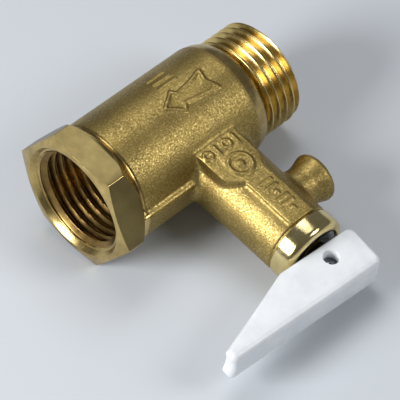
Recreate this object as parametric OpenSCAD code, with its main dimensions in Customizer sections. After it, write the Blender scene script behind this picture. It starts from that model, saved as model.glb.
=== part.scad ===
// Boiler safety valve: brass tee body with a check valve in the run and a spring
// relief valve in the branch, lifted by a plastic test lever.
// The run lies along +X from the female hexagon end, the branch points along -Y,
// the drain spout points along +X and the forging splits on the plane z = 0.

/* [Run] */
// Hexagon size across flats
hex_af = 25; // [24.5:0.5:27]
// Hexagon length, measured along the middle of a flat
hex_len = 6.2; // [5.8:0.1:7]
// Drop of the front corners behind the end face
hex_front_chamfer = 0.38; // [0.2:0.02:0.8]
// Drop of the rear corners in front of the hexagon's back
hex_rear_chamfer = 2; // [1:0.1:2.6]
// Diameter of the forged tube between hexagon and male thread
tube_d = 23.6; // [23:0.1:24.2]
// Depth of the groove turned behind the hexagon
groove_depth = 0.55; // [0.3:0.05:0.8]
// Width of the groove turned behind the hexagon
groove_w = 0.7; // [0.5:0.1:1]
// Length of the whole run, end face to end face
run_len = 48.3; // [47.5:0.1:50]

/* [Threads] */
// Male thread, outside diameter
male_d = 20.955; // [20.9:0.005:21]
// Length of the male thread
male_len = 9.4; // [8.6:0.1:10]
// Length of the turned cone between tube and male thread
neck_len = 2.9; // [2.4:0.1:3.4]
// End chamfer of the male thread
male_chamfer = 1.1; // [0.8:0.1:1.4]
// Female thread, inside diameter
female_d = 18.631; // [18.5:0.001:18.7]
// Depth of the female thread from the end face
female_depth = 13; // [12:0.1:14]
// Diameter of the countersunk mouth in the end face
mouth_d = 23; // [22.6:0.1:23.4]
// Depth of the countersunk mouth
mouth_depth = 0.95; // [0.7:0.05:1.2]
// Width of the flat step at the bottom of the mouth
mouth_step = 0.3; // [0.1:0.05:0.5]
// Bore of the male end
male_bore_d = 14; // [13:0.1:15]

/* [Branch] */
// Distance from the end face to the branch axis
branch_x = 26.1; // [25:0.1:27]
// Bore of the seat for the plug
plug_seat_d = 12.6; // [12.3:0.1:12.8]
// Wall of the branch round the plug's seat
branch_wall = 0.9; // [0.8:0.05:1.3]
// Distance from the run axis to the end of the branch
branch_len = 36; // [35:0.1:37]
// Length of the turned ring at the end of the branch
ring_len = 4; // [3.6:0.1:4.4]
// How far the turned ring stands out from the branch
ring_over = 0.1; // [0:0.05:0.3]
// Outer radius of the rolled lip
lip_round = 1.3; // [0.8:0.1:1.5]
// How far the lip is rolled in over the plug
lip_in = 0.7; // [0.5:0.05:0.9]
// Bore of the spring chamber
chamber_d = 11.8; // [11.6:0.1:12]
// Distance from the run axis to the chamber floor
chamber_floor = 11.4; // [11:0.1:11.8]
// Distance from the branch end back to the shoulder under the plug
plug_seat_depth = 4.4; // [4.2:0.1:4.8]

/* [Drain spout] */
// Distance from the run axis to the spout axis
spout_y = 23.85; // [23.4:0.05:24.4]
// Distance from the end face of the hexagon to the open end of the spout
spout_end_x = 39.1; // [38.6:0.1:39.6]
// Diameter of the spout's neck
spout_neck_d = 8; // [7.6:0.1:8.4]
// Diameter of the spout's lip
spout_lip_d = 9.66; // [9.2:0.02:10]
// Length of the flare from neck to lip
spout_flare_len = 2.9; // [2.4:0.1:3.2]
// Bore of the spout
spout_bore_d = 6.2; // [5.6:0.1:6.4]

/* [Forged details] */
// Width of the flat pad on the shoulder between run and branch
pad_w = 9.8; // [9:0.1:10.4]
// Distance from the branch axis to the middle of the pad, towards the hexagon
pad_shift = 0.7; // [0:0.1:1]
// Height of the pad's face over the branch
pad_over = 0.1; // [0.05:0.05:0.6]
// Distance from the run axis to the round end of the pad
pad_reach = 20.3; // [19.6:0.1:21]
// Width of the flat strip along the branch
strip_w = 5.6; // [5:0.1:6]
// Height of the strip's face over the branch
strip_over = 0.15; // [0.1:0.05:0.6]
// Thickness of the rib between hexagon and branch
rib_t = 6.3; // [5:0.1:7]
// Distance from the run axis to the rib's outer face
rib_y = 12.6; // [12.2:0.1:13]

/* [Relief valve] */
// Diameter of the hole through the relief seat
relief_hole_d = 8; // [7:0.1:8.4]
// Width of the raised seat land
relief_land = 0.9; // [0.6:0.1:1]
// Height of the raised seat above the chamber floor
relief_seat_h = 1; // [0.6:0.1:1.4]
// Diameter of the rubber seal
relief_seal_d = 10.5; // [10.2:0.1:10.6]
// Thickness of the rubber seal
relief_seal_t = 2; // [1.6:0.1:2.4]
// Wall of the cup that holds the seal
cup_wall = 0.3; // [0.2:0.05:0.35]
// Thickness of the cup's floor
cup_floor = 1.6; // [1.2:0.1:2]
// How far the rubber stands out of the cup
seal_proud = 0.8; // [0.6:0.1:1]
// Stem diameter
stem_d = 5; // [4.8:0.1:5.2]
// Thickness of the stem's flat tongue
tongue_t = 2; // [1.8:0.1:2.2]
// Length of the flats, back from the hinge pin
tongue_len = 7.8; // [7.7:0.1:8.4]
// Wire diameter of the relief spring
relief_wire = 1.3; // [1.1:0.05:1.3]
// Mean diameter of the relief spring
relief_coil_d = 8.8; // [8.4:0.1:9]
// Turns of the relief spring
relief_turns = 5.5; // [5:0.5:5.5]
// Thickness of the washer under the plug
washer_t = 0.6; // [0.5:0.1:1]
// Thickness of the plug's flange
plug_flange_t = 3; // [2.8:0.1:3.2]
// How far the plug's face lies inside the ring's end
plug_recess = 0.25; // [0.1:0.05:0.5]

/* [Lever] */
// Distance from the ring's end to the hinge axis
hinge_gap = 3.65; // [3.6:0.05:4]
// Slack turn of the resting lever, degrees towards the hexagon
lever_slack = 2.6; // [1.6:0.1:3]
// Thickness of the lever
lever_t = 7; // [6.4:0.1:7.6]
// Distance from the hinge axis to the tip
lever_reach = 28.5; // [26:0.05:30]
// Distance from the hinge axis to the heel's end
heel_reach = 7.28; // [6.8:0.02:7.4]
// Distance from the hinge axis to the edge that faces the ring
lever_in = 2.95; // [2.7:0.05:3]
// Distance from the hinge axis to the outer edge
lever_out = 6.1; // [5.7:0.05:6.6]
// Distance from the hinge axis to the start of the taper
taper_start = 9.8; // [9:0.1:11]
// Width of the tip
tip_w = 2.65; // [2.3:0.05:3]
// Corner radius at the heel
heel_round = 1.4; // [1.4:0.1:1.8]
// Corner radius at the tip
tip_round = 1.1; // [0.8:0.1:1.2]
// Rounding along the outer edges
lever_edge = 1.2; // [0.8:0.1:1.5]
// Depth of the waist across the tip
tip_waist = 0.45; // [0.2:0.05:0.6]
// Hinge pin diameter
pin_d = 3; // [2.8:0.1:3.2]
// Depth of the pin's head below the lever's face
pin_recess = 1.9; // [1.6:0.1:2]
// Floor left under the pin in the lower cheek
pin_floor = 0.6; // [0.5:0.1:1]

/* [Check valve] */
// Distance from the end face to the seat face
check_seat_x = 35; // [34.6:0.1:35.4]
// Diameter of the hole through the check seat
check_hole_d = 11.2; // [10.6:0.1:11.6]
// Width of the raised check seat
check_land = 0.8; // [0.6:0.1:1]
// Height of the raised check seat
check_seat_h = 0.5; // [0.4:0.1:0.8]
// Bore around the poppet
poppet_bore_d = 15.2; // [15:0.1:15.4]
// Poppet diameter
poppet_d = 13.2; // [13:0.1:13.4]
// Poppet thickness
poppet_t = 2; // [1.6:0.1:2.4]
// Thickness of the poppet's rubber ring
poppet_ring_t = 1.1; // [0.9:0.1:1.4]
// Poppet stem diameter
poppet_stem_d = 3.2; // [3:0.1:3.4]
// Bore that takes the guide
guide_d = 16.4; // [16.2:0.1:16.6]
// Distance from the end face to the back of the guide
guide_back_x = 20.5; // [20:0.1:21]
// Length of the guide
guide_len = 3.5; // [3:0.1:4]
// Spokes of the guide
guide_spokes = 3; // [3, 4]
// Wire diameter of the check spring
check_wire = 0.6; // [0.5:0.05:0.7]
// Mean diameter of the check spring
check_coil_d = 6; // [5.8:0.1:6.4]
// Turns of the check spring
check_turns = 6; // [5:0.5:6]
// Wire diameter of the ring that keeps the guide in
snap_wire = 1.1; // [1:0.1:1.2]

/* [Clearances] */
// Radial gap of a running fit
running = 0.06; // [0.03:0.01:0.08]
// Radial gap between pieces that are put together and don't move
assembly = 0.05; // [0.02:0.01:0.1]

/* [Hidden] */
$fn = 96;
eps = 0.01;
hull_fn = 32;

hex_rc = hex_af / sqrt(3);
tube_r = tube_d / 2;
male_r = male_d / 2;
female_r = female_d / 2;
mouth_r = mouth_d / 2;
male_start = run_len - male_len;
neck_start = male_start - neck_len;
neck_step = 0.2;
female_lead = 1.2;

plug_seat_r = plug_seat_d / 2;
branch_r = plug_seat_r + branch_wall;
ring_r = branch_r + ring_over;
ring_start = branch_len - ring_len;
seam_w = 0.3;
seam_depth = 0.25;
chamber_r = chamber_d / 2;
plug_seat_s = branch_len - plug_seat_depth;
lip_hole_r = plug_seat_r - lip_in;
relief_seat_s = chamber_floor + relief_seat_h;

cup_r = relief_seal_d / 2 + assembly + cup_wall;
cup_start = relief_seat_s + seal_proud;
cup_back = relief_seat_s + relief_seal_t + cup_floor;
stem_r = stem_d / 2;
hinge_s = branch_len + hinge_gap;
washer_s = plug_seat_s - washer_t;
relief_spring_len = washer_s - cup_back;

pin_r = pin_d / 2;
slot_gap = 0.15;
slot_half = tongue_t / 2 + slot_gap;
slot_r = stem_r + 2 * slot_gap;
pin_top = lever_t / 2 - pin_recess;
pin_bottom = -lever_t / 2 + pin_floor;

poppet_r = poppet_d / 2;
poppet_front = check_seat_x - poppet_ring_t;
poppet_back = poppet_front - poppet_t;
poppet_nose_r = poppet_stem_d / 2 + 1.4;
poppet_nose_len = poppet_ring_t + 0.7;
guide_r = guide_d / 2;
guide_front_x = guide_back_x - guide_len;
guide_hub_r = check_coil_d / 2 + check_wire / 2 + 0.4;
guide_rim = 1.3;
guide_spoke_w = 1.8;
snap_x = guide_front_x - snap_wire / 2;
snap_r = guide_r - assembly;
snap_opening = 50;

// A profile of [radius, distance] turned about the run axis
module turn_run() {
    rotate([0, 90, 0]) rotate_extrude() children();
}

// A profile of [radius, distance] turned about the branch axis
module turn_branch() {
    translate([branch_x, 0, 0]) rotate([90, 0, 0]) rotate_extrude() children();
}

// A profile of [radius, distance] turned about the spout axis
module turn_spout() {
    translate([0, -spout_y, 0]) rotate([0, 90, 0]) rotate_extrude() children();
}

// A round wire wound into a compression spring that stands on z = 0, with a closed turn at each end
module coil_spring(wire, mean_d, len, turns, sides, steps) {
    closed = 1;
    closed_pitch = wire * 1.04;
    open_pitch = (len - wire - 2 * closed * closed_pitch) / (turns - 2 * closed);
    rings = round(turns * steps);
    // Height of the wire's centre after t turns
    function lift(t) =
        wire / 2 + (t < closed ? t * closed_pitch
            : t < turns - closed ? closed * closed_pitch + (t - closed) * open_pitch
            : len - wire - (turns - t) * closed_pitch);
    points = [for (i = [0:rings]) for (k = [0:sides - 1])
        let (t = i / steps, a = 360 * t, b = 360 * k / sides, r = mean_d / 2 + wire / 2 * cos(b))
            [r * cos(a), r * sin(a), lift(t) + wire / 2 * sin(b)]];
    walls = [for (i = [0:rings - 1]) for (k = [0:sides - 1])
        let (n = (k + 1) % sides)
            [i * sides + k, (i + 1) * sides + k, (i + 1) * sides + n, i * sides + n]];
    first = [for (k = [0:sides - 1]) k];
    last = [for (k = [sides - 1:-1:0]) rings * sides + k];
    polyhedron(points, concat(walls, [first], [last]), convexity = 10);
}

// Hexagon with corners on the Y axis, turned at both ends
module hexagon() {
    corner = hex_rc - hex_af / 2;
    intersection() {
        rotate([0, 90, 0]) rotate([0, 0, 90]) cylinder(r = hex_rc, h = hex_len, $fn = 6);
        turn_run() polygon([
            [0, 0],
            [hex_af / 2, 0],
            [hex_af / 2 + corner, hex_front_chamfer],
            [hex_af / 2 + corner + 1, hex_front_chamfer + 1],
            [hex_af / 2 + corner + 1, hex_len - hex_rear_chamfer - 1],
            [hex_af / 2 + corner, hex_len - hex_rear_chamfer],
            [hex_af / 2, hex_len],
            [0, hex_len]]);
    }
}

// Tube, turned neck and the male end at the diameter of its thread
module run_outside() {
    turn_run() polygon([
        [0, 1],
        [tube_r - groove_depth, 1],
        [tube_r - groove_depth, hex_len + groove_w],
        [tube_r, hex_len + groove_w + groove_depth],
        [tube_r, neck_start],
        [tube_r - neck_step, neck_start],
        [male_r, male_start],
        [male_r, run_len - male_chamfer],
        [male_r - male_chamfer, run_len],
        [0, run_len]]);
}

// Forged branch with the turned ring and its rolled lip
module branch_outside() {
    turn_branch() {
        square([branch_r, ring_start - seam_w]);
        square([branch_r - seam_depth, branch_len - lip_round]);
        translate([0, ring_start]) square([ring_r, ring_len - lip_round]);
        translate([0, ring_start]) square([ring_r - lip_round, ring_len]);
        translate([ring_r - lip_round, branch_len - lip_round]) circle(lip_round);
    }
}

// Short drain spout that flares to a rounded lip
module spout_outside() {
    lip_r = spout_lip_d / 2;
    lip_edge = 1.1;
    flare_end = spout_end_x - lip_edge;
    flare_start = flare_end - spout_flare_len;
    turn_spout() {
        polygon([
            [0, branch_x],
            [spout_neck_d / 2, branch_x],
            [spout_neck_d / 2, flare_start],
            [lip_r, flare_end],
            [lip_r - lip_edge, spout_end_x],
            [0, spout_end_x]]);
        translate([lip_r - lip_edge, flare_end]) circle(lip_edge);
    }
}

// Flat pad with a round end, strip along the branch and rib in the parting plane
module forged_details() {
    pad_z = branch_r + pad_over;
    strip_z = branch_r + strip_over;
    pad_x = branch_x - pad_shift;
    pad_round = pad_reach - pad_w / 2;
    translate([pad_x - pad_w / 2, -pad_round, 0]) cube([pad_w, pad_round, pad_z]);
    translate([pad_x, -pad_round, 0]) cylinder(d = pad_w, h = pad_z);
    translate([branch_x - strip_w / 2, seam_w - ring_start, 0])
        cube([strip_w, ring_start - seam_w, strip_z]);
    translate([hex_len - 1, -rib_y, -rib_t / 2])
        cube([branch_x - branch_r + 2 - hex_len + 1, rib_y, rib_t]);
}

// The way through the run: mouth, female thread, guide bore, check seat and male bore
module run_inside() {
    step_r = mouth_r - mouth_depth - mouth_step;
    seat_floor = check_seat_x + check_seat_h;
    land_r = check_hole_d / 2 + check_land;
    male_bore_start = seat_floor + 2.2;
    turn_run() difference() {
        polygon([
            [0, -1],
            [mouth_r + 1, -1],
            [mouth_r, 0],
            [mouth_r - mouth_depth, mouth_depth],
            [step_r, mouth_depth],
            [female_r, mouth_depth + female_lead],
            [female_r, female_depth],
            [guide_r, female_depth + female_r - guide_r],
            [guide_r, guide_back_x],
            [poppet_bore_d / 2, guide_back_x],
            [poppet_bore_d / 2, seat_floor],
            [check_hole_d / 2, seat_floor],
            [check_hole_d / 2, male_bore_start],
            [male_bore_d / 2, male_bore_start + (male_bore_d - check_hole_d) / 2],
            [male_bore_d / 2, run_len + 1],
            [0, run_len + 1]]);
        translate([check_hole_d / 2, check_seat_x]) square([check_land, check_seat_h + eps]);
    }
    turn_run() translate([snap_r, snap_x]) circle(d = snap_wire + 2 * assembly);
}

// The way out: relief seat, spring chamber, plug seat and drain bore
module branch_inside() {
    turn_branch() {
        square([relief_hole_d / 2, relief_seat_s + eps]);
        polygon([
            [0, relief_seat_s],
            [relief_hole_d / 2 + relief_land, relief_seat_s],
            [relief_hole_d / 2 + relief_land, chamber_floor],
            [chamber_r, chamber_floor],
            [chamber_r, plug_seat_s],
            [plug_seat_r, plug_seat_s],
            [plug_seat_r, plug_seat_s + plug_flange_t],
            [lip_hole_r, plug_seat_s + plug_flange_t + lip_in],
            [lip_hole_r, branch_len + 1],
            [0, branch_len + 1]]);
    }
    translate([branch_x, -spout_y, 0]) rotate([0, 90, 0])
        cylinder(d = spout_bore_d, h = spout_end_x - branch_x + 1);
}

// The brass body, forged in one piece and machined
module valve_body() {
    color("darkkhaki") difference() {
        union() {
            hexagon();
            run_outside();
            branch_outside();
            spout_outside();
            forged_details();
        }
        run_inside();
        branch_inside();
    }
}

// Black plug held by the rolled lip, with the hole that guides the stem
module bonnet_plug() {
    flange_r = plug_seat_r - assembly;
    nose_r = lip_hole_r - assembly;
    face = branch_len - plug_recess;
    edge = 0.4;
    color("black") turn_branch() polygon([
        [stem_r + running, plug_seat_s],
        [flange_r, plug_seat_s],
        [flange_r, plug_seat_s + plug_flange_t - assembly],
        [nose_r, plug_seat_s + plug_flange_t - assembly + flange_r - nose_r],
        [nose_r, face - edge],
        [nose_r - edge, face],
        [stem_r + running, face]]);
}

// Flat steel washer between plug and spring
module spring_washer() {
    color("silver") turn_branch() translate([stem_r + 4 * running, washer_s])
        square([chamber_r - stem_r - 8 * running, washer_t]);
}

// Spring that holds the relief seal on its seat
module relief_spring() {
    color("silver") translate([branch_x, -cup_back, 0]) rotate([90, 0, 0])
        coil_spring(relief_wire, relief_coil_d, relief_spring_len, relief_turns, 8, 20);
}

// Brass stem: cup for the seal, round shaft and a flat tongue with the hinge eye
module relief_stem() {
    flats = hinge_s - tongue_len;
    color("goldenrod") difference() {
        union() {
            turn_branch() polygon([
                [0, relief_seat_s + relief_seal_t],
                [relief_seal_d / 2 + assembly, relief_seat_s + relief_seal_t],
                [relief_seal_d / 2 + assembly, cup_start],
                [cup_r, cup_start],
                [cup_r, cup_back],
                [stem_r, cup_back],
                [stem_r, hinge_s],
                [0, hinge_s]]);
            translate([branch_x, -hinge_s, -tongue_t / 2]) cylinder(r = stem_r, h = tongue_t);
        }
        for (side = [0, 1]) mirror([0, 0, side])
            translate([branch_x - stem_d, -hinge_s - stem_d, tongue_t / 2])
                cube([2 * stem_d, hinge_s - flats + stem_d, stem_d]);
        translate([branch_x, -hinge_s, -stem_d]) cylinder(r = pin_r + running, h = 2 * stem_d);
    }
}

// Rubber disc in the stem's cup
module relief_seal() {
    color("dimgray") turn_branch() translate([0, relief_seat_s])
        square([relief_seal_d / 2, relief_seal_t]);
}

// Outline of the lever about its hinge, with the outer and the inner edges drawn in
module lever_outline(outer, inner) {
    heel = heel_reach - inner;
    tip = outer - lever_reach;
    low = outer - lever_out;
    high = lever_in - inner;
    hull() {
        translate([heel - heel_round, high - heel_round]) circle(heel_round, $fn = hull_fn);
        translate([heel - heel_round, low + heel_round]) circle(heel_round, $fn = hull_fn);
        translate([-taper_start, high - tip_round]) circle(tip_round, $fn = hull_fn);
        translate([tip + tip_round, low + tip_round]) circle(tip_round, $fn = hull_fn);
        translate([tip + tip_round / 2, low + tip_w - tip_round / 2 - outer])
            circle(tip_round / 2, $fn = hull_fn);
    }
}

// White test lever: two cheeks at the heel, solid towards the tip
module lever() {
    inner_edge = 0.25;
    waist_r = 7;
    color("white") translate([branch_x, -hinge_s, 0]) rotate([0, 0, -lever_slack]) difference() {
        hull() for (side = [0, 1]) mirror([0, 0, side]) {
            linear_extrude(lever_t / 2) lever_outline(lever_edge, inner_edge);
            linear_extrude(lever_t / 2 - lever_edge * 0.3) lever_outline(lever_edge * 0.3, inner_edge * 0.3);
            linear_extrude(lever_t / 2 - lever_edge) lever_outline(0, 0);
        }
        translate([0, 0, -slot_half]) cylinder(r = slot_r, h = 2 * slot_half);
        translate([-slot_r, 0, -slot_half]) cube([heel_reach + slot_r + 1, lever_in + 1, 2 * slot_half]);
        translate([0, -slot_r, -slot_half]) cube([heel_reach + 1, slot_r + 1, 2 * slot_half]);
        translate([0, 0, pin_bottom]) cylinder(r = pin_r + assembly / 2, h = lever_t);
        translate([tip_waist - lever_reach - waist_r, lever_in, 0]) rotate([90, 0, 0])
            cylinder(r = waist_r, h = lever_in + lever_out + 1);
    }
}

// Steel hinge pin with a domed head
module lever_pin() {
    dome_r = 3;
    color("gray") translate([branch_x, -hinge_s, 0]) intersection() {
        translate([0, 0, pin_bottom]) cylinder(r = pin_r, h = pin_top - pin_bottom);
        translate([0, 0, pin_top - dome_r]) sphere(dome_r);
        translate([-pin_d, -pin_d, pin_bottom]) cube([2 * pin_d, 2 * pin_d, lever_t]);
    }
}

// Plastic poppet with its stem and the nose that holds the rubber ring
module check_poppet() {
    stem_end = guide_front_x - 0.8;
    neck_r = poppet_nose_r - 0.6;
    color("ivory") turn_run() polygon([
        [0, stem_end],
        [poppet_stem_d / 2 - 0.4, stem_end],
        [poppet_stem_d / 2, stem_end + 0.4],
        [poppet_stem_d / 2, poppet_back],
        [poppet_r, poppet_back],
        [poppet_r, poppet_front],
        [neck_r, poppet_front],
        [neck_r, poppet_front + poppet_ring_t + assembly],
        [poppet_nose_r, poppet_front + poppet_ring_t + assembly],
        [neck_r - 0.8, poppet_front + poppet_nose_len + 0.8],
        [0, poppet_front + poppet_nose_len + 0.8]]);
}

// Rubber ring that closes on the check seat
module check_ring() {
    inner_r = poppet_nose_r - 0.6 + assembly;
    color("dimgray") turn_run() translate([inner_r, poppet_front])
        square([poppet_r - 0.1 - inner_r, poppet_ring_t]);
}

// Light spring that closes the check valve
module check_spring() {
    color("silver") translate([guide_back_x, 0, 0]) rotate([0, 90, 0])
        coil_spring(check_wire, check_coil_d, poppet_back - guide_back_x, check_turns, 6, 18);
}

// Plastic guide: rim, spokes and the hub that carries the poppet's stem
module check_guide() {
    rim_r = guide_r - assembly;
    hole_r = poppet_stem_d / 2 + running;
    spoke_start = guide_hub_r - 0.5;
    color("ivory") {
        turn_run() translate([rim_r - guide_rim, guide_front_x]) square([guide_rim, guide_len]);
        turn_run() translate([hole_r, guide_front_x]) square([guide_hub_r - hole_r, guide_len]);
        for (k = [0:guide_spokes - 1]) rotate([360 * k / guide_spokes + 30, 0, 0])
            translate([guide_front_x, -guide_spoke_w / 2, spoke_start])
                cube([guide_len, guide_spoke_w, rim_r - guide_rim / 2 - spoke_start]);
    }
}

// Open wire ring, sprung into the groove in front of the guide
module snap_ring() {
    color("silver") translate([snap_x, 0, 0]) rotate([0, 90, 0])
        rotate([0, 0, snap_opening / 2]) rotate_extrude(angle = 360 - snap_opening)
            translate([snap_r, 0]) circle(d = snap_wire);
}

valve_body();
bonnet_plug();
spring_washer();
relief_spring();
relief_stem();
relief_seal();
lever();
lever_pin();
check_poppet();
check_ring();
check_spring();
check_guide();
snap_ring();
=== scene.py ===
import math

import bpy
from mathutils import Matrix, Vector


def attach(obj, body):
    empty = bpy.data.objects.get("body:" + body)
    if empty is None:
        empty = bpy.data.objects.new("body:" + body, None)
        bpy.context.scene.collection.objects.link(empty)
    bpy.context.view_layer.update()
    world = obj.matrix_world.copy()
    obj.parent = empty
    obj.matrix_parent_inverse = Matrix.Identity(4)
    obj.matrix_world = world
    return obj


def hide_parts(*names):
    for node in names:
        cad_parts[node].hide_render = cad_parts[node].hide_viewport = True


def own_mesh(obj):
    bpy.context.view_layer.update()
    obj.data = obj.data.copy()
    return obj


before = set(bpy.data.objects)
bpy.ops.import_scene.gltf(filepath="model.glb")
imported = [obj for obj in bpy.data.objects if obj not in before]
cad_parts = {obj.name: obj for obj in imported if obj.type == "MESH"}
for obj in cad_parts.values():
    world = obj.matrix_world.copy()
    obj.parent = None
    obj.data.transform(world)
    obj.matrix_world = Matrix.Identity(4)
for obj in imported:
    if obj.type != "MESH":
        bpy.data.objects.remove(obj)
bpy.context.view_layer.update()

MM = 0.001

# Sizes shared with the CAD model, in millimetres
HEX_AF, HEX_LEN = 25.0, 6.2
TUBE_R, GROOVE_R = 11.8, 11.25
RUN_LEN = 48.3
PITCH, MAJOR_R, MINOR_R = 1.814, 10.4775, 9.3155
BRANCH_X, BRANCH_R, RING_R = 26.1, 7.2, 7.3
BRANCH_LEN, RING_LEN = 36.0, 4.0
SPOUT_Y, SPOUT_END = 23.85, 39.1
HINGE_Y = 39.65
LEVER_SLACK = math.radians(2.6)
LEVER_T, LEVER_EDGE = 7.0, 1.2
LEVER_REACH, HEEL_REACH = 28.5, 7.28
LEVER_IN, LEVER_OUT = 2.95, 6.1
TIP_W, TIP_WAIST = 2.65, 0.45


# Modelling helpers
def deselect():
    bpy.ops.object.select_all(action="DESELECT")


def only(ob):
    deselect()
    ob.select_set(True)
    bpy.context.view_layer.objects.active = ob


def apply(ob, kind, **settings):
    """Adds one modifier and applies it."""
    only(ob)
    m = ob.modifiers.new(kind.title(), kind)
    for key, value in settings.items():
        setattr(m, key, value)
    bpy.ops.object.modifier_apply(modifier=m.name)


def boolean(ob, other, operation, keep=False, solver="MANIFOLD"):
    apply(ob, "BOOLEAN", object=other, operation=operation, solver=solver)
    if not keep:
        bpy.data.objects.remove(other)
    return ob


def chain(name, points, closed=True):
    """A polyline drawn by extruding one vertex of a primitive from point to point."""
    deselect()
    bpy.ops.mesh.primitive_plane_add(size=0.001, location=(0, 0, 0))
    ob = bpy.context.object
    ob.name = name
    bpy.ops.object.mode_set(mode="EDIT")
    bpy.ops.mesh.select_mode(type="VERT")
    bpy.ops.mesh.select_all(action="SELECT")
    bpy.ops.mesh.merge(type="CENTER")
    here = Vector(points[0])
    bpy.ops.transform.translate(value=here)
    for p in points[1:]:
        p = Vector(p)
        bpy.ops.mesh.extrude_region_move(TRANSFORM_OT_translate={"value": p - here})
        here = p
    if closed:
        bpy.ops.mesh.select_all(action="SELECT")
        bpy.ops.mesh.edge_face_add()
        bpy.ops.mesh.select_all(action="SELECT")
    bpy.ops.object.mode_set(mode="OBJECT")
    return ob


def tidy(ob, distance=1e-4):
    """Merges doubles, drops loose bits and turns the faces outwards."""
    only(ob)
    bpy.ops.object.mode_set(mode="EDIT")
    bpy.ops.mesh.select_all(action="SELECT")
    bpy.ops.mesh.remove_doubles(threshold=distance)
    bpy.ops.mesh.delete_loose(use_verts=True, use_edges=True, use_faces=False)
    bpy.ops.mesh.select_all(action="SELECT")
    bpy.ops.mesh.normals_make_consistent(inside=False)
    bpy.ops.object.mode_set(mode="OBJECT")
    return ob


def lathe(name, profile, origin=(0, 0, 0), along="X", steps=96):
    """Turns a closed profile of (radius, distance) about an axis."""
    o = Vector(origin)
    axis = {"X": Vector((1, 0, 0)), "-Y": Vector((0, -1, 0)), "Z": Vector((0, 0, 1))}[along]
    out = {"X": Vector((0, 1, 0)), "-Y": Vector((1, 0, 0)), "Z": Vector((1, 0, 0))}[along]
    ob = chain(name, [o + axis * s + out * r for r, s in profile])
    bpy.ops.object.mode_set(mode="EDIT")
    bpy.ops.mesh.select_all(action="SELECT")
    bpy.ops.mesh.delete(type="ONLY_FACE")
    bpy.ops.mesh.select_all(action="SELECT")
    bpy.ops.mesh.spin(steps=steps, angle=2 * math.pi, center=o, axis=axis)
    bpy.ops.object.mode_set(mode="OBJECT")
    return tidy(ob)


def prism(name, outline, low, high, along="Z"):
    """A flat outline, pulled out along an axis."""
    place = {"Z": lambda a, b, h: (a, b, h),
             "Y": lambda a, b, h: (a, h, b),
             "X": lambda a, b, h: (h, a, b)}[along]
    ob = chain(name, [place(a, b, low) for a, b in outline])
    bpy.ops.object.mode_set(mode="EDIT")
    bpy.ops.mesh.select_all(action="SELECT")
    bpy.ops.mesh.extrude_region_move(TRANSFORM_OT_translate={"value": place(0, 0, high - low)})
    bpy.ops.mesh.select_all(action="SELECT")
    bpy.ops.mesh.normals_make_consistent(inside=False)
    bpy.ops.object.mode_set(mode="OBJECT")
    return ob


def arc(cx, cy, r, a0, a1, n):
    """Points of an arc between two angles in degrees."""
    return [(cx + r * math.cos(math.radians(a0 + (a1 - a0) * k / n)),
             cy + r * math.sin(math.radians(a0 + (a1 - a0) * k / n))) for k in range(n + 1)]


def join(obs):
    """Makes one object of several."""
    deselect()
    for ob in obs:
        ob.select_set(True)
    bpy.context.view_layer.objects.active = obs[0]
    bpy.ops.object.join()
    return obs[0]


# Brass body, in millimetres
def select_where(ob, test):
    """Selects the vertices whose place passes the test, and opens edit mode."""
    only(ob)
    for p in ob.data.polygons:
        p.select = False
    for e in ob.data.edges:
        e.select = False
    for v in ob.data.vertices:
        v.select = test(v.co)
    bpy.ops.object.mode_set(mode="EDIT")
    bpy.ops.mesh.select_mode(type="VERT")


def bevel_all(ob, width, segments=2, angle=30):
    """Rounds every edge sharper than the angle."""
    apply(ob, "BEVEL", width=width, segments=segments, limit_method="ANGLE",
          angle_limit=math.radians(angle))
    return ob


def forging():
    """Tube, branch, rib, pad, strip and spout as cast, run together with fillets."""
    neck = [(TUBE_R, 35.2), (11.78, 35.7), (11.68, 36.2), (11.56, 36.8), (11.36, 37.5), (11.05, 38.2),
            (10.75, 38.7), (10.4, 39.1)]
    tube = lathe("forging", [(0, 7.3), (11.6, 7.3), (TUBE_R, 7.5)] + neck + [(0, 39.1)])
    branch = lathe("branch", [(0, 0), (7.35, 0), (7.3, 14), (BRANCH_R, 24), (BRANCH_R, 31.68), (0, 31.68)],
                   (BRANCH_X, 0, 0), "-Y")
    rib = bevel_all(prism("rib", [(5.6, -4), (21, -4), (21, -12.6), (5.6, -12.6)], -3.15, 3.15), 0.75, 3)
    px, pr = 25.4, 4.9
    pad = prism("pad", [(px - pr, -4)] + arc(px, -15.4, pr, 180, 360, 18) + [(px + pr, -4)], 0, 7.3)
    strip = prism("strip", [(23.3, -5), (23.3, -31.66), (28.9, -31.66), (28.9, -5)], 0, 7.4)
    spout = lathe("spout", [(0, 28), (4.0, 28), (4.0, 35.1), (4.1, 35.7), (4.35, 36.5), (4.6, 37.3),
                            (4.8, 37.9), (4.82, 38.3), (4.65, 38.7), (4.35, 38.98), (4.1, 39.06), (0, 39.06)],
                  (0, -SPOUT_Y, 0), "X", 64)
    body = join([tube, branch, rib, pad, strip, spout])
    apply(body, "REMESH", mode="VOXEL", voxel_size=0.26)

    def fillet(test, times):
        select_where(body, test)
        bpy.ops.mesh.vertices_smooth(factor=0.5, repeat=times)
        bpy.ops.object.mode_set(mode="OBJECT")

    def at_tube(v, d):
        return abs(math.hypot(v.y, v.z) - TUBE_R) < d

    def at_branch(v, d):
        return abs(math.hypot(v.x - BRANCH_X, v.z) - BRANCH_R) < d

    fillet(lambda v: v.x < 35, 3)
    fillet(lambda v: v.y < -6 and at_tube(v, 1.3) and at_branch(v, 1.3)
           and (v.z < 5.5 or v.x > 31.2 or v.x < 19.6), 30)
    fillet(lambda v: v.y < -9 and at_branch(v, 1.4) and v.x < 21 and abs(v.z) < 4.4 and v.y > -14.4, 40)
    fillet(lambda v: v.x > 31 and at_branch(v, 1.0) and abs(math.hypot(v.y + SPOUT_Y, v.z) - 4.0) < 1.0, 24)
    return body


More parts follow.
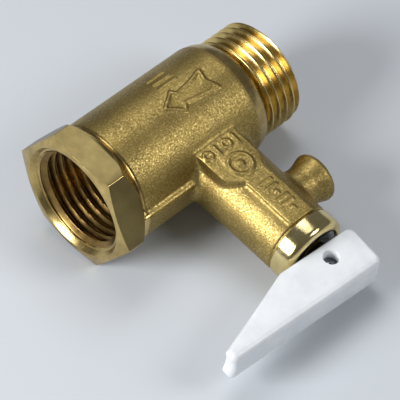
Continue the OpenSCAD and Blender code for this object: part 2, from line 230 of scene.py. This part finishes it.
def stroke(points, width, low, high):
    """Raised line on a plan: one bar with round ends for each stretch between two points."""
    bars = []
    for a, b in zip(points, points[1:]):
        turn = math.degrees(math.atan2(b[1] - a[1], b[0] - a[0]))
        outline = arc(a[0], a[1], width / 2, turn + 90, turn + 270, 6)
        outline += arc(b[0], b[1], width / 2, turn - 90, turn + 90, 6)
        bars.append(prism("bar", outline, low, high))
    return bars


def ring_mark(cx, cy, r, width, low, high, sides=24):
    inner, outer = r - width / 2, r + width / 2
    return lathe("ring", [(inner, low), (outer, low), (outer, high), (inner, high)], (cx, cy, 0), "Z", sides)


def marks():
    """Raised signs: a flow arrow and bars on the tube, rings, bars and pips on the pad and the strip."""
    high = TUBE_R + 0.26
    arrow = [(31.9, -3.0), (29.0, -2.7), (24.4, -2.0), (23.7, -3.3), (20.5, -0.9), (23.9, 1.4), (24.5, 0.3),
             (28.9, 1.0), (31.4, 1.8), (30.6, -0.6), (31.9, -3.0)]
    on_tube = stroke(arrow, 0.5, 8, 14)
    for y in (3.3, 4.9, 6.5):
        on_tube += stroke([(23.2, y), (27.0, y)], 0.5, 6, 14)
    cap = lathe("cap", [(0, 15), (high, 15), (high, 34), (0, 34)])
    tube_marks = []
    for bar in on_tube:
        boolean(bar, cap, "INTERSECT", keep=True)
        tube_marks.append(bar)
    bpy.data.objects.remove(cap)
    top = 7.3 + 0.3
    pad = []
    for k, x in enumerate((21.9, 24.1, 26.4, 28.6)):
        if k % 2:
            pad += stroke([(x, -10.5), (x, -12.3)], 0.5, 6, top)
        else:
            pad.append(ring_mark(x, -11.4, 0.85, 0.5, 6, top))
    pad.append(ring_mark(25.4, -16.2, 2.3, 0.5, 6, top, 36))
    pad.append(lathe("pip", [(0, 6), (0.7, 6), (0.7, top), (0, top)], (25.4, -16.2, 0), "Z", 20))
    strip = []
    for k, y in enumerate((-22.0, -23.4, -26.3, -27.7)):
        strip += stroke([(24.9, y), (27.3, y)], 0.5, 6, 7.4 + 0.26)
    for y in (-24.85, -29.1):
        strip.append(lathe("pip", [(0, 6), (0.45, 6), (0.45, 7.66), (0, 7.66)], (26.1, y, 0), "Z", 16))
    return tube_marks + pad + strip


def thread(crest_x, turns, steps=72):
    """A right-hand ridge of G thread form, one pitch per turn, with its crest at crest_x on the -Y side."""
    root = MINOR_R - 0.45
    # half widths of the ridge from the root to the rounded crest, for 55 degree flanks
    form = [(root, 0.86), (MINOR_R, 0.80), (MINOR_R + 0.16, 0.68), (MAJOR_R - 0.17, 0.26),
            (MAJOR_R - 0.05, 0.15), (MAJOR_R, 0.05)]
    profile = form + [(r, -w) for r, w in reversed(form)]
    ob = chain("thread", [(crest_x + w, -r, 0) for r, w in profile])
    bpy.ops.object.mode_set(mode="EDIT")
    bpy.ops.mesh.select_all(action="SELECT")
    bpy.ops.mesh.delete(type="ONLY_FACE")
    bpy.ops.object.mode_set(mode="OBJECT")
    apply(ob, "SCREW", axis="X", angle=2 * math.pi, screw_offset=PITCH, iterations=turns, steps=steps,
          render_steps=steps, use_merge_vertices=False, use_smooth_shade=False)
    bpy.ops.object.mode_set(mode="EDIT")
    bpy.ops.mesh.select_mode(type="EDGE")
    bpy.ops.mesh.select_all(action="DESELECT")
    bpy.ops.mesh.select_non_manifold(extend=False, use_wire=False, use_boundary=True, use_multi_face=False,
                                     use_non_contiguous=False, use_verts=False)
    bpy.ops.mesh.edge_face_add()
    bpy.ops.mesh.select_all(action="SELECT")
    bpy.ops.mesh.normals_make_consistent(inside=False)
    bpy.ops.mesh.select_mode(type="VERT")
    bpy.ops.object.mode_set(mode="OBJECT")
    return ob


def hexagon():
    """Hexagon with corners on the Y axis, chamfered by turning at both ends, its edges a little rubbed."""
    rc = HEX_AF / math.sqrt(3)
    corners = [(rc * math.cos(math.radians(60 * k)), rc * math.sin(math.radians(60 * k))) for k in range(6)]
    nut = prism("hexagon", corners, 0, HEX_LEN, "X")
    bevel_all(nut, 0.16, 2, 40)
    half = HEX_AF / 2
    turned = lathe("turned", [(0, 0), (half - 0.25, 0), (half - 0.05, 0.07), (half + 0.15, 0.17),
                              (half + 2.4, 0.8), (half + 2.4, HEX_LEN - 2.5), (half + 0.1, HEX_LEN - 0.12),
                              (half - 0.1, HEX_LEN), (0, HEX_LEN)])
    return boolean(nut, turned, "INTERSECT")


def machined_outside():
    """Everything turned on a lathe: groove, neck, thread blank, ring with its rolled lip."""
    groove = [(0, 5), (GROOVE_R, 5), (GROOVE_R, 6.75), (GROOVE_R + 0.1, 6.9), (GROOVE_R + 0.3, 7.15),
              (11.55, 7.4), (11.0, 7.8), (11.0, 36.5)]
    core = lathe("core", groove + [(MINOR_R, 39.0), (MINOR_R, 47.75), (MINOR_R - 0.3, RUN_LEN), (0, RUN_LEN)])
    ridge = thread(38.84, 6)
    blank = lathe("blank", [(0, 37.2), (MAJOR_R, 37.2), (MAJOR_R, 47.2), (MAJOR_R - 0.06, 47.35),
                            (MINOR_R + 0.1, 48.1), (MINOR_R - 0.1, RUN_LEN), (0, RUN_LEN)])
    boolean(ridge, blank, "INTERSECT")
    boolean(core, ridge, "UNION")
    end = BRANCH_LEN
    lip = [(RING_R, 34.75)] + [(RING_R - 1.25 + 1.25 * math.cos(a), end - 1.25 + 1.25 * math.sin(a))
                               for a in [math.radians(15 * k) for k in range(1, 7)]]
    foot = [(0, 31.2), (6.95, 31.2), (6.95, 32.0), (RING_R - 0.12, 32.0), (RING_R, 32.12)]
    ring = lathe("ring", foot + lip + [(5.2, end), (0, end)], (BRANCH_X, 0, 0), "-Y")
    return core, ring


def machined_inside():
    """The hollows: threaded mouth and run, relief seat and chamber, drain bore."""
    mouth = [(0, -1), (12.5, -1), (11.5, 0), (11.42, 0.06), (10.75, 0.95), (10.4, 0.98),
             (MINOR_R + 0.02, 1.95), (MINOR_R, 2.1), (MINOR_R, 13)]
    guide = [(8.2, 14.1), (8.2, 16.0), (8.75, 16.1), (8.75, 16.9), (8.2, 17.0), (8.2, 20.5)]
    seat = [(7.6, 20.5), (7.6, 35.5), (6.4, 35.5), (6.4, 35.0), (5.6, 35.0), (5.6, 37.7)]
    end = [(7.0, 39.1), (7.0, 47.85), (7.35, RUN_LEN), (8.4, 49.3), (0, 49.3)]
    run = lathe("run", mouth + guide + seat + end)
    ridge = thread(0.72, 7)
    limit = lathe("limit", [(0, 0.98), (10.55, 0.98), (10.55, 12.4), (0, 12.4)])
    boolean(ridge, limit, "INTERSECT")
    boolean(run, ridge, "UNION")
    nozzle = [(0, 0), (4.0, 0), (4.0, 12.4), (4.9, 12.4), (4.9, 11.4), (5.9, 11.4), (5.9, 31.6)]
    plug_seat = [(6.3, 31.6), (6.3, 34.6), (5.62, 35.28), (5.6, 35.6), (5.75, 35.9), (6.0, 36.2),
                 (6.0, 37), (0, 37)]
    chamber = lathe("chamber", nozzle + plug_seat, (BRANCH_X, 0, 0), "-Y")
    bore = [(0, BRANCH_X), (3.1, BRANCH_X), (3.1, 38.6), (3.25, 38.85), (3.6, 39.3), (0, 39.3)]
    drain = lathe("drain", bore, (0, -SPOUT_Y, 0), "X", 64)
    return run, chamber, drain


def valve_body():
    """The forging with its raised signs, then its machined outside and inside."""
    body = join([forging()] + marks())
    apply(body, "REMESH", mode="VOXEL", voxel_size=0.17)
    apply(body, "SMOOTH", factor=0.5, iterations=2)
    apply(body, "DECIMATE", ratio=0.25)
    core, ring = machined_outside()
    for tool in (hexagon(), core, ring):
        boolean(body, tool, "UNION")
    for tool in machined_inside():
        boolean(body, tool, "DIFFERENCE")
    return body


def at_lever(x, y):
    """A point of the lever's own plan, turned and carried to the hinge."""
    c, d = math.cos(-LEVER_SLACK), math.sin(-LEVER_SLACK)
    return BRANCH_X + x * c - y * d, -HINGE_Y + x * d + y * c


def rounded(corners, n=6):
    """Outline through (x, y, radius) corners, each replaced by an arc."""
    out = []
    for k, (x, y, r) in enumerate(corners):
        p = Vector((x, y))
        a = (Vector(corners[k - 1][:2]) - p).normalized()
        b = (Vector(corners[(k + 1) % len(corners)][:2]) - p).normalized()
        half = a.angle(b) / 2
        centre = p + (a + b).normalized() * (r / math.sin(half))
        start = p + a * (r / math.tan(half)) - centre
        end = p + b * (r / math.tan(half)) - centre
        turn = start.angle_signed(end)
        t0 = math.atan2(start.y, start.x)
        out += [(centre.x + r * math.cos(t0 - turn * j / n), centre.y + r * math.sin(t0 - turn * j / n))
                for j in range(n + 1)]
    return out


def lever_loop(z):
    """Outline of the lever at one height: round to the outer side and the tip, sharper towards the ring."""
    half = LEVER_T / 2

    def inset(radius):
        over = max(0.0, abs(z) - (half - radius))
        return radius - math.sqrt(max(0.0, radius * radius - over * over))

    outer, inner = inset(LEVER_EDGE), inset(0.3)
    waist = TIP_WAIST * max(0.0, 1 - (z / 2.6) ** 2)
    tip = outer + waist - LEVER_REACH
    less = outer * 0.8
    corners = [(HEEL_REACH - inner, LEVER_IN - inner, 1.4),
               (-9.8, LEVER_IN - inner, 1.4),
               (tip + 0.2, TIP_W - LEVER_OUT - less * 0.6, max(0.15, 0.5 - less)),
               (tip, outer - LEVER_OUT, 1.15 - less),
               (HEEL_REACH - outer * 0.6, outer - LEVER_OUT, 1.5 - less)]
    return [at_lever(x, y) + (z,) for x, y in rounded(corners, 6)]


def lever():
    """Moulded lever: loops stacked from the lower to the upper face and bridged, then slot and pin hole."""
    half = LEVER_T / 2
    rise = [half - LEVER_EDGE + LEVER_EDGE * math.sin(math.radians(a))
            for a in (0, 15, 30, 45, 60, 75, 83, 90)]
    levels = [-z for z in reversed(rise)] + [-1.5, -0.75, 0, 0.75, 1.5] + rise
    loops = []
    for z in levels:
        loop = chain("loop", lever_loop(z), closed=False)
        bpy.ops.object.mode_set(mode="EDIT")
        bpy.ops.mesh.select_all(action="SELECT")
        bpy.ops.mesh.edge_face_add()
        bpy.ops.mesh.delete(type="ONLY_FACE")
        bpy.ops.object.mode_set(mode="OBJECT")
        loops.append(loop)
    ob = join(loops)
    for low, high in zip(levels, levels[1:]):
        select_where(ob, lambda v: abs(v.z - low) < 0.005 or abs(v.z - high) < 0.005)
        bpy.ops.mesh.bridge_edge_loops()
        bpy.ops.object.mode_set(mode="OBJECT")
    for z in (-half, half):
        select_where(ob, lambda v: abs(v.z - z) < 0.005)
        bpy.ops.mesh.edge_face_add()
        bpy.ops.object.mode_set(mode="OBJECT")
    tidy(ob)
    plan = [(9, 4), (-2.8, 4), (-2.8, 0)] + arc(0, 0, 2.8, 180, 270, 8)[1:] + [(9, -2.8)]
    slot = prism("slot", [at_lever(x, y) for x, y in plan], -1.15, 1.15)
    boolean(ob, slot, "DIFFERENCE")
    hole = lathe("hole", [(0, -2.9), (1.53, -2.9), (1.53, 3.36), (1.62, 3.5), (1.9, 4.2), (0, 4.2)],
                 (BRANCH_X, -HINGE_Y, 0), "Z", 40)
    return boolean(ob, hole, "DIFFERENCE")


def pin():
    """Headed pin: bright domed end, chamfered at the bottom."""
    top = LEVER_T / 2 - 1.9
    r0 = 3.0
    profile = [(0, -2.9), (1.3, -2.9), (1.5, -2.7)]
    for a in (30, 24, 18, 12, 6, 0):
        profile.append((r0 * math.sin(math.radians(a)), top - r0 + r0 * math.cos(math.radians(a))))
    return lathe("hinge_pin", profile, (BRANCH_X, -HINGE_Y, 0), "Z", 40)


def plug():
    """Moulded plug, glossy, with a small lead round the stem's hole."""
    return lathe("branch_plug", [(2.56, 31.6), (6.25, 31.6), (6.25, 34.55), (5.55, 35.25), (5.55, 35.45),
                                 (5.5, 35.6), (5.35, 35.72), (5.15, 35.75), (3.2, 35.75), (3.0, 35.72),
                                 (2.75, 35.55), (2.6, 35.25), (2.56, 35.0)], (BRANCH_X, 0, 0), "-Y", 96)


def wire_along(name, points, thickness):
    """A round wire drawn along a line of points, with closed ends."""
    ob = chain(name, points, closed=False)
    only(ob)
    bpy.ops.object.convert(target="CURVE")
    ob = bpy.context.object
    ob.data.bevel_depth = thickness / 2
    ob.data.bevel_resolution = 3
    ob.data.use_fill_caps = True
    bpy.ops.object.convert(target="MESH")
    return tidy(bpy.context.object)


def spring(name, wire, mean_d, turns, length, start, along, steps=36):
    """Compression spring with a closed turn at each end."""
    closed_pitch = wire * 1.04
    open_pitch = (length - wire - 2 * closed_pitch) / (turns - 2)
    axis = {"X": Vector((1, 0, 0)), "-Y": Vector((0, -1, 0))}[along]
    e1 = {"X": Vector((0, 1, 0)), "-Y": Vector((1, 0, 0))}[along]
    e2 = axis.cross(e1)
    points = []
    for k in range(int(turns * steps) + 1):
        t = k / steps
        if t < 1:
            height = wire / 2 + t * closed_pitch
        elif t < turns - 1:
            height = wire / 2 + closed_pitch + (t - 1) * open_pitch
        else:
            height = length - wire / 2 - (turns - t) * closed_pitch
        a = 2 * math.pi * t
        points.append(Vector(start) + axis * height + (e1 * math.cos(a) + e2 * math.sin(a)) * (mean_d / 2))
    return wire_along(name, points, wire)


# Materials
def tint(text):
    """sRGB hex to linear RGBA."""
    out = []
    for k in (0, 2, 4):
        c = int(text[k:k + 2], 16) / 255
        out.append(c / 12.92 if c <= 0.04045 else ((c + 0.055) / 1.055) ** 2.4)
    return (*out, 1.0)


NOISE, RAMP, BUMP = "ShaderNodeTexNoise", "ShaderNodeValToRGB", "ShaderNodeBump"
COORD, MIX, WAVE = "ShaderNodeTexCoord", "ShaderNodeMix", "ShaderNodeTexWave"


def node(tree, kind, values=None, links=None, stops=(), **settings):
    """Adds one node with its settings, its sockets' values, its links and, on a ramp, its stops."""
    n = tree.nodes.new(kind)
    for key, value in settings.items():
        setattr(n, key, value)
    for key, value in (values or {}).items():
        n.inputs[key].default_value = value
    for key, out in (links or {}).items():
        tree.links.new(out, n.inputs[key])
    if stops:
        elements = n.color_ramp.elements
        while len(elements) < len(stops):
            elements.new(0.5)
        for e, (place, c) in zip(elements, stops):
            e.position = place
            e.color = tint(c) if isinstance(c, str) else (c, c, c, 1)
    return n.outputs


def per(size_mm):
    """Scale of a pattern whose features are so many millimetres wide."""
    return 1000.0 / size_mm


def material(name, **sockets):
    """A new material with its shader's constant values, and the place its patterns read."""
    m = bpy.data.materials.new(name)
    m.use_nodes = True
    tree = m.node_tree
    shader = tree.nodes["Principled BSDF"]
    for key, value in sockets.items():
        shader.inputs[key.replace("_", " ")].default_value = value
    place = node(tree, COORD)["Object"]
    return m, tree, shader, {"Vector": place}


def feed(tree, shader, **sources):
    """Joins finished patterns to the shader's sockets."""
    for key, out in sources.items():
        tree.links.new(out, shader.inputs[key.replace("_", " ")])


def blasted_brass():
    # Forged brass, shot-blasted: the dents give a matt grain with bright specks, olive where oxide stays.
    # The real dents are about 0.15 mm wide, and drawn coarser here so that they show.
    m, t, s, at = material("forged_brass_shot_blasted", Metallic=1.0)
    grain = node(t, NOISE, {"Scale": per(0.34), "Detail": 3, "Roughness": 0.65}, at)["Fac"]
    dents = node(t, NOISE, {"Scale": per(1.0), "Detail": 2, "Roughness": 0.5}, at)["Fac"]
    cloud = node(t, NOISE, {"Scale": per(8.0), "Detail": 3, "Roughness": 0.55}, at)["Fac"]
    tone = node(t, RAMP, None, {"Fac": cloud}, [(0.3, "8C794A"), (0.5, "A48D53"), (0.7, "B8A062")])["Color"]
    speck = node(t, RAMP, None, {"Fac": grain},
                 [(0.36, "6E5F36"), (0.55, "AA9452"), (0.70, "F4E0A4")])["Color"]
    feed(t, s,
         Base_Color=node(t, MIX, {"Factor": 0.5}, {6: tone, 7: speck}, data_type="RGBA")[2],
         Roughness=node(t, RAMP, None, {"Fac": grain}, [(0.35, 0.55), (0.7, 0.32)])["Color"],
         Normal=node(t, BUMP, {"Distance": 0.06 * MM, "Strength": 1.0},
                     {"Height": grain, "Normal": node(t, BUMP, {"Distance": 0.08 * MM, "Strength": 0.6},
                                                      {"Height": dents})["Normal"]})["Normal"])
    return m


def turned_brass(name, direction, light, dark, rough, pitch_mm=0.09, wavy=0.01):
    # Brass turned on a lathe: bright, with fine tool lines that run round the axis
    m, t, s, at = material(name, Metallic=1.0)
    cloud = node(t, NOISE, {"Scale": per(5.0), "Detail": 3, "Roughness": 0.6}, at)["Fac"]
    patch = node(t, NOISE, {"Scale": per(1.2), "Detail": 2, "Roughness": 0.6}, at)["Fac"]
    ripple = node(t, NOISE, {"Scale": per(0.5), "Detail": 3, "Roughness": 0.6}, at)["Fac"]
    lines = node(t, WAVE, {"Scale": per(pitch_mm * 3.2), "Distortion": 0.6}, at,
                 wave_type="BANDS", bands_direction=direction)["Fac"]
    feed(t, s,
         Base_Color=node(t, RAMP, None, {"Fac": cloud}, [(0.35, dark), (0.65, light)])["Color"],
         Roughness=node(t, RAMP, None, {"Fac": patch}, [(0.3, rough), (0.7, rough + 0.08)])["Color"],
         Normal=node(t, BUMP, {"Distance": 0.004 * MM, "Strength": 0.6},
                     {"Height": lines, "Normal": node(t, BUMP, {"Distance": wavy * MM, "Strength": 0.35},
                                                      {"Height": ripple})["Normal"]})["Normal"])
    return m


def skin(name, light, dark, rough, change, grain_mm, depth_mm, **sockets):
    # A moulded or drawn surface: slight changes of tone and gloss over a fine orange-peel grain
    m, t, s, at = material(name, **sockets)
    cloud = node(t, NOISE, {"Scale": per(5.0), "Detail": 3, "Roughness": 0.6}, at)["Fac"]
    patch = node(t, NOISE, {"Scale": per(1.4), "Detail": 3, "Roughness": 0.6}, at)["Fac"]
    grain = node(t, NOISE, {"Scale": per(grain_mm), "Detail": 2, "Roughness": 0.5}, at)["Fac"]
    feed(t, s,
         Base_Color=node(t, RAMP, None, {"Fac": cloud}, [(0.35, dark), (0.65, light)])["Color"],
         Roughness=node(t, RAMP, None, {"Fac": patch}, [(0.3, rough), (0.75, rough + change)])["Color"],
         Normal=node(t, BUMP, {"Distance": depth_mm * MM, "Strength": 0.4}, {"Height": grain})["Normal"])
    return m


# Pieces
def finish_piece(ob, name, body, mats, replaces=(), angle=35):
    """Scales a finished piece to metres, names it, gives it its finish and lets it ride."""
    only(ob)
    ob.data.transform(Matrix.Scale(MM, 4))
    ob.name = ob.data.name = name
    bpy.ops.object.shade_smooth_by_angle(angle=math.radians(angle))
    places = [p.material_index for p in ob.data.polygons]
    ob.data.materials.clear()
    for m in mats:
        ob.data.materials.append(m)
    ob.data.polygons.foreach_set("material_index", places)
    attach(ob, body)
    if replaces:
        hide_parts(*replaces)
    return ob


FORGED = blasted_brass()
RUN_TURNED = turned_brass("brass_turned_along_run", "X", "D2B877", "A8905A", 0.2)
BRANCH_TURNED = turned_brass("brass_polished_ring", "Y", "ECD9A0", "D2BC7C", 0.1, wavy=0.003)
THREAD = turned_brass("brass_threaded", "X", "E6CC88", "BFA462", 0.2, 0.14)
# A darker copy of the threaded brass for inside the mouth: painted shade in the recess
THREAD_INSIDE_PAINTED_SHADE = turned_brass("brass_threaded_inside_painted_shade", "X", "A2844C", "745C34", 0.26, 0.14)
# Brass for the hexagon's flats, darkened as painted shade
HEX_FLATS_PAINTED_SHADE = turned_brass("brass_hexagon_flats_painted_shade", "X", "82744B", "736642", 0.32, 0.5)

body = valve_body()


def brass_finish(face):
    """Which of the body's finishes a face has: cast and blasted, or turned, by its place."""
    c, n = face.center, face.normal
    from_run = math.hypot(c.y, c.z)
    from_branch = math.hypot(c.x - BRANCH_X, c.z)
    if c.y < -31.9 or (c.y < -11.5 and from_branch < 6.5):
        return 2
    if c.x < 1.2 and from_run < 12.2:
        return 1
    # Inside the mouth the thread takes the darker brass: painted shade
    if c.x < 13.05 and from_run < 10.6:
        return 5
    if c.x < HEX_LEN + 0.05 and from_run > 9:
        # The flats are dull and take a darker brass that paints in shade, and the rubbed edges between them
        # are bright
        off_flat = abs(math.degrees(math.atan2(n.z, n.y)) % 60 - 30)
        return 4 if off_flat < 4 and abs(n.x) < 0.1 else 1
    if c.x < 7.35 and from_run > 9:
        return 1
    if c.x > 38.9 and 8.9 < from_run < 10.6 and c.y > -13:
        return 3
    if c.x > 36.1 and c.y > -13 or from_run < 9.0 and c.y > -9.0:
        return 1
    return 0


for face in body.data.polygons:
    face.material_index = brass_finish(face)
finish_piece(body, "brass_body", "valve",
             [FORGED, RUN_TURNED, BRANCH_TURNED, THREAD, HEX_FLATS_PAINTED_SHADE, THREAD_INSIDE_PAINTED_SHADE], ["valve_body"])

# Acetal is a waxy white, nylon a glossy black that mirrors the lamps, rubber black and matt
WHITE = skin("white_acetal_moulded", "EEF1F4", "E2E6EA", 0.3, 0.1, 0.5, 0.012)
BLACK = skin("black_nylon_glossy", "0B0B0D", "050506", 0.12, 0.1, 0.5, 0.006,
             Coat_Weight=0.3, Coat_Roughness=0.08)
NATURAL = skin("natural_acetal_moulded", "E9E4D6", "DAD4C4", 0.42, 0.1, 0.5, 0.012)
RUBBER = skin("black_nitrile_rubber", "232323", "151515", 0.55, 0.17, 0.3, 0.01)
# Polished steel is a mirror in its hole, its colour darkened as painted shade; drawn wire is colder and
# duller
PIN_PAINTED_SHADE = skin("polished_steel_pin_painted_shade", "77797C", "5C5E61", 0.08, 0.06, 0.4, 0.001, Metallic=1.0)
WIRE = skin("stainless_spring_wire", "B9BBBD", "8D8F92", 0.26, 0.12, 0.4, 0.004, Metallic=1.0)
STEM = turned_brass("brass_turned_stem", "Y", "D8B96C", "B3934C", 0.2)

finish_piece(lever(), "test_lever_moulding", "test_lever", [WHITE], ["lever"], 40)
finish_piece(pin(), "hinge_pin_headed", "test_lever", [PIN_PAINTED_SHADE], ["lever_pin"], 40)
finish_piece(plug(), "branch_plug", "valve", [BLACK], ["bonnet_plug"], 40)
coil = finish_piece(spring("coil", 1.3, 8.8, 5.5, 15.0, (BRANCH_X, -16.0, 0), "-Y"), "relief_coil", "valve",
                    [WIRE], ["relief_spring"], 50)
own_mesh(coil)
coil = finish_piece(spring("coil", 0.6, 6.0, 6, 11.4, (20.5, 0, 0), "X"), "check_coil", "valve",
                    [WIRE], ["check_spring"], 50)
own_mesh(coil)

for name, m in (("spring_washer", WIRE), ("relief_stem", STEM), ("relief_seal", RUBBER),
                ("check_poppet", NATURAL), ("check_ring", RUBBER), ("check_guide", NATURAL),
                ("snap_ring", WIRE)):
    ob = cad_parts[name]
    ob.data.materials.clear()
    ob.data.materials.append(m)


# Floor, light and camera
def stage():
    """The floor: the plane through the hexagon, the thread's end and the ring, on which the valve lies."""
    n = Vector((-0.0703, 0.1318, 1)).normalized()
    deselect()
    bpy.ops.mesh.primitive_plane_add(size=2.0)
    floor = bpy.context.object
    floor.name = "floor"
    turn = n.to_track_quat("Z", "Y").to_matrix().to_4x4()
    centre = Vector((20, -15, 0))
    centre -= n * (centre.dot(n) + 13.88 + 0.02)
    floor.data.transform(Matrix.Translation(centre * MM) @ turn)
    m = bpy.data.materials.new("pale_floor")
    m.use_nodes = True
    t = m.node_tree
    t.nodes.clear()
    paper = node(t, "ShaderNodeBsdfDiffuse", {"Color": tint("C9CED4")})["BSDF"]
    node(t, "ShaderNodeOutputMaterial", None, {"Surface": paper})
    floor.data.materials.append(m)


def lamp(name, place, target, size, power, colour=(1, 1, 1)):
    data = bpy.data.lights.new(name, "AREA")
    data.shape = "DISK"
    data.size = size
    data.energy = power
    data.color = colour
    ob = bpy.data.objects.new(name, data)
    bpy.context.collection.objects.link(ob)
    ob.location = place
    ob.rotation_euler = (Vector(place) - Vector(target)).to_track_quat("Z", "Y").to_euler()
    return ob


stage()
scene = bpy.context.scene
middle = Vector((0.02, -0.015, 0))
right = Vector((0.7190, -0.6861, 0.1111))
above = Vector((0.5173, 0.6349, 0.5738))
back = Vector((-0.4643, -0.3551, 0.8114))
lamp("key", middle + 0.36 * (back * 0.72 - right * 0.85 - above * 0.05), middle, 0.20, 1.6)
lamp("top", middle + 0.42 * (above * 0.95 + back * 0.45 - right * 0.1), middle, 0.26, 0.65)
lamp("side", middle + 0.45 * (right * 0.8 + back * 0.7 + above * 0.25), middle, 0.20, 0.75)
world = bpy.data.worlds.new("studio")
scene.world = world
world.use_nodes = True
world.node_tree.nodes["Background"].inputs["Color"].default_value = (0.5, 0.51, 0.53, 1)
world.node_tree.nodes["Background"].inputs["Strength"].default_value = 0.28

camera = bpy.data.cameras.new("camera")
camera.sensor_width = 36
# The lens was fitted to the photograph: 3445.9 picture units on a picture 400 wide
FOCAL, PICTURE = 3445.9, 400
camera.lens = camera.sensor_width * FOCAL / PICTURE
camera.clip_start = 0.01
cam = bpy.data.objects.new("camera", camera)
bpy.context.collection.objects.link(cam)
basis = Matrix((right, above, back)).transposed().to_4x4()
cam.matrix_world = Matrix.Translation(Vector((-0.27097, -0.23544, 0.50567))) @ basis
scene.camera = cam
scene.view_settings.view_transform = "Standard"
